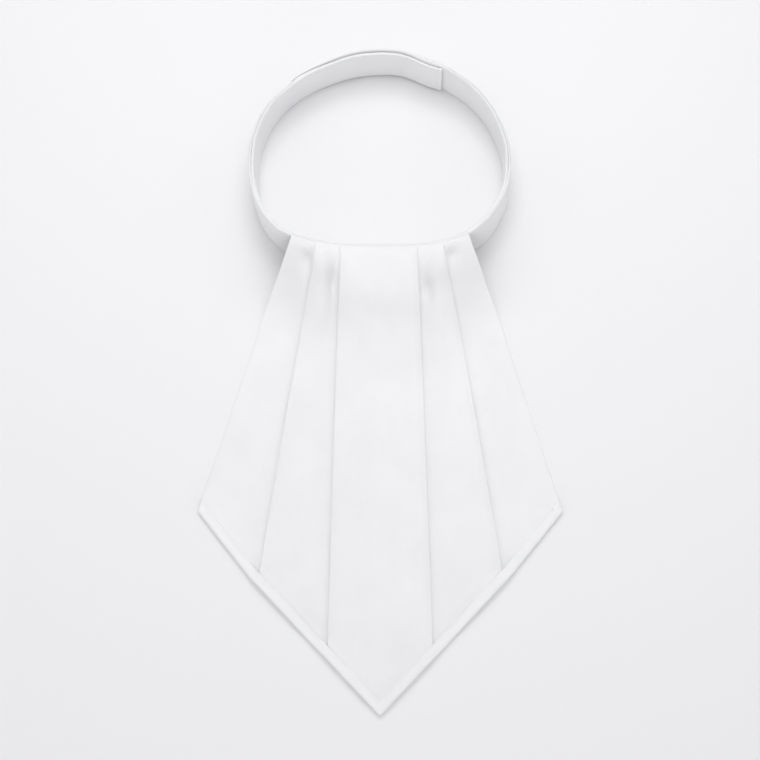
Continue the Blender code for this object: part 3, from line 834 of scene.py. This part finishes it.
class HemCourse:
    """Where the hem runs: its stations along the lower edge, and its lines at insets into the bib."""

    def __init__(self):
        lengths = np.hypot(*np.diff(lower_edge(0.0), axis=0).T)
        places = [0.0]
        for number, length in enumerate(lengths):
            steps = int(round(length / HEM_STATION))
            places += [number + step / steps for step in range(1, steps + 1)]
        travelled = np.concatenate([[0.0], np.cumsum(lengths)])
        self.places = np.array(places)
        self.along = np.interp(self.places, np.arange(len(travelled)), travelled)
        self.insets = np.linspace(-0.6, HEM_WIDTH + 0.8, 28)
        self.lines = np.array([hem_line(inset, self.places) for inset in self.insets])

    def at(self, station, inset):
        """The x and y at this inset, at this station."""
        return [np.interp(inset, self.insets, self.lines[:, station, axis]) for axis in (0, 1)]


def covered_heights(x, bib_end):
    """How high the bib's upper side stands under the hem at each x, its pleats' steps eased over."""
    marks = np.linspace(-95.0, 95.0, 381)
    highest = np.zeros(len(marks))
    for (x0, _, z0), (x1, _, z1) in zip(bib_end[:-1], bib_end[1:]):
        low, high = min(x0, x1) - 0.6, max(x0, x1) + 0.6
        near = (marks >= low) & (marks <= high)
        highest[near] = np.maximum(highest[near], max(z0, z1))
    reach = 5
    widened = np.array([highest[max(i - reach, 0):i + reach + 1].max() for i in range(len(marks))])
    kernel = np.hanning(2 * reach + 3)[1:-1]
    eased = np.convolve(widened, kernel / kernel.sum(), "same")
    return np.interp(x, marks, eased)


def make_hem(course, bib_end):
    """A strip wrapped round the lower edge: over the bib, round the outside and back under it.

    A profile's rows are inset, height and thickness, from the edge on the bib's face to the one beneath.
    """
    roll = Waves(seed=23, shortest=5.0, longest=16.0)
    pucker = Waves(seed=37, shortest=2.4, longest=6.0)
    waver = Waves(seed=29, shortest=20.0, longest=70.0)
    half = HEM_CLOTH / 2
    total = course.along[-1]
    rings, flats, seam = [], [], []
    for station, along in enumerate(course.along):
        width = HEM_WIDTH + 0.2 * waver.at(along, 30.0) + 0.08 * roll.at(along, 50.0)
        inner_x, _ = course.at(station, width)
        edge = covered_heights(inner_x, bib_end) + 0.13
        from_end = min(along, total - along)
        drawn = 0.4 + 0.6 * hump(from_end / 30.0)
        edge += 0.08 * drawn * (1.0 + pucker.at(along))
        top = max(HEM_HEIGHT - half, edge + 0.25) + 0.08 * roll.at(along) + 0.06 * waver.at(along)
        side = half + (top - half) * 0.55
        profile = [
            (width - 0.12, edge, 0.22),
            (width - 0.5, edge + 0.10 * (top - edge) + 0.03, 0.34),
            (width - 1.0, edge + 0.36 * (top - edge) + 0.03, 0.5),
            (width - 1.5, edge + 0.68 * (top - edge), 0.65),
            (width * 0.58, top - 0.05, HEM_CLOTH),
            (width * 0.44, top, HEM_CLOTH),
            (1.3, top - 0.01, HEM_CLOTH),
            (0.95, top - 0.07, HEM_CLOTH),
            (0.66, top - 0.24, HEM_CLOTH),
            (half + 0.1, top - 0.5, HEM_CLOTH),
            (half + 0.02, side + 0.1, HEM_CLOTH),
            (half + 0.14, side - 0.3, HEM_CLOTH),
            (half + 0.5, side - 0.72, HEM_CLOTH),
            (half + 1.0, half + 0.16, HEM_CLOTH),
            (half + 1.6, half, HEM_CLOTH),
            (width * 0.6, half, HEM_CLOTH),
            (width * 0.8, half, HEM_CLOTH),
            (width - 0.6, half, HEM_CLOTH),
        ]
        profile = np.array(profile)
        line, thicknesses = profile[:, :2], profile[:, 2]
        inset, up = round_ended(line, thicknesses).T
        px, py = course.at(station, inset)
        rings.append(np.column_stack([px, py, np.maximum(up, 0.0)]))
        flats.append(np.column_stack([np.full(len(up), along), round_ended_places(lengths_along(line))]))
        seam_inset = width - SEAM_FROM_EDGE
        upper = profile[:10]
        seam_up = np.interp(-seam_inset, -upper[:, 0], upper[:, 1] + upper[:, 2] / 2)
        seam.append([*course.at(station, seam_inset), seam_up])
    piece = lofted("hem_cloth", np.array(rings), np.array(flats), "faces")
    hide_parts("hem")
    return piece, np.array(seam)


# Stitches


def model_stitch():
    """One thread stitch: a bar with rounded, sunk ends, lying along X at the origin."""
    bpy.ops.object.select_all(action="DESELECT")
    radius, length = STITCH_THICKNESS / 2 * MM, STITCH_LENGTH * MM
    bpy.ops.mesh.primitive_cylinder_add(vertices=6, radius=radius, depth=length)
    stitch = bpy.context.object
    stitch.name = "stitch"
    bpy.ops.object.mode_set(mode="EDIT")
    bpy.ops.mesh.select_all(action="SELECT")
    bpy.ops.transform.rotate(value=np.pi / 2, orient_axis="Y", center_override=(0.0, 0.0, 0.0))
    shape = bmesh.from_edit_mesh(stitch.data)
    bpy.ops.mesh.select_all(action="DESELECT")
    bpy.ops.mesh.select_mode(type="FACE")
    for face in shape.faces:
        face.select_set(abs(face.normal.x) > 0.9)
    bmesh.update_edit_mesh(stitch.data)
    bpy.ops.mesh.inset(thickness=STITCH_THICKNESS * 0.25 * MM, depth=STITCH_THICKNESS * 0.3 * MM)
    bpy.ops.object.mode_set(mode="OBJECT")
    for corner in stitch.data.vertices:
        corner.co.z *= STITCH_FLATNESS
        corner.co.z -= 0.24 * radius * (corner.co.x / (length / 2)) ** 2
    stitch.data.shade_smooth()
    return stitch


def sewn(name, stitch, places):
    """Copies of the stitch at these places, each {at, along, size}, joined into one piece."""
    copies = []
    for place in places:
        mesh = stitch.data.copy()
        turn = Vector(place["along"]).to_track_quat("X", "Z").to_matrix().to_4x4()
        move = Matrix.Translation(Vector(place["at"]) * MM)
        mesh.transform(move @ turn @ Matrix.Scale(place["size"], 4))
        copy = bpy.data.objects.new(name, mesh)
        bpy.context.scene.collection.objects.link(copy)
        copies.append(copy)
    bpy.ops.object.select_all(action="DESELECT")
    for copy in copies:
        copy.select_set(True)
    bpy.context.view_layer.objects.active = copies[0]
    bpy.ops.object.join()
    return bpy.context.object


def hem_stitch_places(course, seam):
    """Where the hem's stitches lie, a little unevenly spaced, between its two corners."""
    draw = np.random.default_rng(41)
    total = course.along[-1]
    count = int((total - 2.0 * SEAM_ENDS_BEFORE) / STITCH_SPACING)
    places = []
    for number in range(count):
        middle = SEAM_ENDS_BEFORE + STITCH_SPACING * (number + 0.5) + draw.uniform(-0.08, 0.08)
        ends = []
        for offset in (-STITCH_LENGTH / 2, STITCH_LENGTH / 2):
            ends.append([np.interp(middle + offset, course.along, seam[:, axis]) for axis in range(3)])
        first, last = Vector(ends[0]), Vector(ends[1])
        at = (first + last) / 2 + Vector((0.0, 0.0, STITCH_THICKNESS * 0.12))
        places.append({"at": at, "along": last - first, "size": draw.uniform(0.94, 1.04)})
    return places


def corner_tack_places(course, seam, side):
    """A few stitches laid close together across the hem's inner edge, near one side corner."""
    total = course.along[-1]
    draw = np.random.default_rng(43)
    places = []
    for number in range(TACK_STITCHES[side]):
        along = TACK_FROM_CORNER + number * STITCH_THICKNESS * 0.8
        along = along if side == "left" else total - along
        middle = [np.interp(along, course.along, seam[:, axis]) for axis in range(3)]
        before = [np.interp(along - 1.0, course.along, seam[:, axis]) for axis in range(3)]
        run = Vector(middle) - Vector(before)
        across = Vector((-run.y, run.x, 0.0))
        at = Vector(middle) + Vector((0.0, 0.0, STITCH_THICKNESS * 0.25))
        places.append({"at": at, "along": across, "size": draw.uniform(0.8, 0.95)})
    return places


# Materials


class Signal:
    """A node's output, on which the signs of arithmetic add Math nodes."""

    def __init__(self, recipe, socket):
        self.recipe = recipe
        self.socket = socket

    def math(self, operation, *values):
        inputs = dict(enumerate(values))
        return self.recipe.node("ShaderNodeMath", {"operation": operation}, inputs)

    def __add__(self, other):
        return self.math("ADD", self, other)

    def __radd__(self, other):
        return self.math("ADD", other, self)

    def __sub__(self, other):
        return self.math("SUBTRACT", self, other)

    def __mul__(self, other):
        return self.math("MULTIPLY", self, other)

    def sine(self):
        return self.math("SINE", self)


class Recipe:
    """A material's nodes, each added by one method."""

    def __init__(self, name):
        self.material = bpy.data.materials.new(name)
        self.material.use_nodes = True
        self.tree = self.material.node_tree
        self.shader = self.tree.nodes["Principled BSDF"]

    def node(self, kind, settings=None, inputs=None, output=0):
        made = self.tree.nodes.new(kind)
        for key, value in (settings or {}).items():
            setattr(made, key, value)
        for key, value in (inputs or {}).items():
            self.give(made.inputs[key], value)
        return Signal(self, made.outputs[output])

    def give(self, socket, value):
        if isinstance(value, Signal):
            self.tree.links.new(value.socket, socket)
        else:
            socket.default_value = value

    def shade(self, values):
        for key, value in values.items():
            self.give(self.shader.inputs[key], value)

    def noise(self, place, scale, detail=2.0, roughness=0.5):
        inputs = {"Vector": place, "Scale": scale, "Detail": detail, "Roughness": roughness}
        return self.node("ShaderNodeTexNoise", {"noise_dimensions": "3D"}, inputs)

    def mix_colors(self, share, first, second):
        made = {"Factor": share, 6: first, 7: second}
        return self.node("ShaderNodeMix", {"data_type": "RGBA"}, made, 2)


def cotton(name):
    """Matt white plain-weave cotton: uneven threads, faint mottling and the small creases of pressing."""
    recipe = Recipe(name)
    dark, light = COTTON_COLORS[name]
    place = recipe.node("ShaderNodeTexCoord", {}, {}, "Object")
    cut = recipe.node("ShaderNodeUVMap", {"uv_map": "cut"})
    across = recipe.node("ShaderNodeSeparateXYZ", {}, {0: cut})
    along = Signal(recipe, across.socket.node.outputs["Y"])
    threads = 2.0 * np.pi / (WEAVE_PITCH * MM)
    wander = recipe.noise(place, 55.0, 2.0) - 0.5
    warp = (across * threads + wander * 6.0).sine()
    weft = (along * threads + wander * 6.0).sine()
    weave = warp * weft
    slub, slub_across = (
        recipe.noise(recipe.node("ShaderNodeMapping", {}, {"Vector": cut, "Scale": scale}), 1.0)
        for scale in SLUB_SCALES
    )
    fibres = recipe.noise(place, 2600.0, 3.0, 0.6)
    mottle = recipe.noise(place, 34.0, 3.0, 0.55)
    press = recipe.noise(place, 90.0, 2.0, 0.5)
    tone = 0.5 + (mottle - 0.5) * 1.5 + (slub - 0.5) * 0.2 + (slub_across - 0.5) * 0.15 + weave * 0.08
    recipe.shade({
        "Base Color": recipe.mix_colors(tone, dark, light),
        "Roughness": 0.86 + (fibres - 0.5) * 0.12,
        "Sheen Weight": 0.12,
        "Sheen Roughness": 0.45,
        "Specular IOR Level": 0.25,
    })
    height = weave * WEAVE_DEPTH + (slub + slub_across) * 0.35 + fibres * 0.25 + press * 1.6 + mottle * 2.2
    bump = {"Height": height, "Strength": 0.5, "Distance": 0.00012}
    recipe.shade({"Normal": recipe.node("ShaderNodeBump", {}, bump)})
    return recipe.material


def sewing_thread():
    """White twisted sewing thread with a slight shine."""
    recipe = Recipe("white_thread")
    place = recipe.node("ShaderNodeTexCoord", {}, {}, "Object")
    twist = recipe.noise(place, 1800.0, 2.0)
    recipe.shade({
        "Base Color": recipe.mix_colors(twist, *THREAD_COLORS),
        "Roughness": 0.6,
        "Specular IOR Level": 0.3,
    })
    return recipe.material


def table_top():
    """The pale matt surface under the tie."""
    recipe = Recipe("pale_table")
    place = recipe.node("ShaderNodeTexCoord", {}, {}, "Object")
    tone = recipe.noise(place, 3.0, 2.0)
    recipe.shade({
        "Base Color": recipe.mix_colors(tone, *TABLE_COLORS),
        "Roughness": 0.9,
        "Specular IOR Level": 0.1,
    })
    return recipe.material


# Light and camera


def make_floor():
    bpy.ops.object.select_all(action="DESELECT")
    bpy.ops.mesh.primitive_plane_add(size=6.0, location=(0.0, 0.0, 0.0))
    floor = bpy.context.object
    floor.name = "table"
    floor.data.materials.append(table_top())


def soft_box(name, place, width, depth, watts):
    """An even light panel that faces the middle of the tie."""
    light = bpy.data.lights.new(name, "AREA")
    light.shape = "RECTANGLE"
    light.size = width
    light.size_y = depth
    light.energy = watts
    lamp = bpy.data.objects.new(name, light)
    lamp.location = place
    lamp.rotation_euler = (-Vector(place)).to_track_quat("-Z", "Y").to_euler()
    bpy.context.scene.collection.objects.link(lamp)


def light_the_scene():
    world = bpy.data.worlds.new("studio")
    world.use_nodes = True
    background = world.node_tree.nodes["Background"]
    background.inputs["Color"].default_value = ROOM_COLOR
    background.inputs["Strength"].default_value = ROOM_STRENGTH
    bpy.context.scene.world = world
    for row in SOFT_BOXES:
        soft_box(**row)
    bpy.context.scene.view_settings.view_transform = "Standard"


def make_camera():
    """The camera looks down at the tie from the point's side."""
    elevation = np.radians(CAMERA_ELEVATION)
    look_at = Vector(CAMERA_LOOKS_AT)
    camera = bpy.data.cameras.new("camera")
    camera.sensor_width = SENSOR_WIDTH
    camera.lens = SENSOR_WIDTH * PICTURE_FOCUS / PICTURE_SIDE
    camera.clip_start = 0.01
    seat = bpy.data.objects.new("camera", camera)
    seat.location = look_at + CAMERA_DISTANCE * Vector((0.0, -np.cos(elevation), np.sin(elevation)))
    seat.rotation_euler = (look_at - seat.location).to_track_quat("-Z", "Y").to_euler()
    bpy.context.scene.collection.objects.link(seat)
    bpy.context.scene.camera = seat


def dress(piece, material):
    piece.data.materials.append(material)
    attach(piece, "root")


neckband = make_neckband()
bib, bib_end = make_bib()
hem_course = HemCourse()
hem, seam = make_hem(hem_course, bib_end)

stitch = model_stitch()
hem_stitches = sewn("hem_stitches", stitch, hem_stitch_places(hem_course, seam))
tack_places = [place for side in ("left", "right") for place in corner_tack_places(hem_course, seam, side)]
corner_tacks = sewn("corner_tacks", stitch, tack_places)
bpy.data.objects.remove(stitch, do_unlink=True)

thread = sewing_thread()
dress(neckband, cotton("band_cotton"))
dress(bib, cotton("bib_cotton"))
dress(hem, cotton("hem_cotton"))
dress(hem_stitches, thread)
dress(corner_tacks, thread)

make_floor()
light_the_scene()
make_camera()
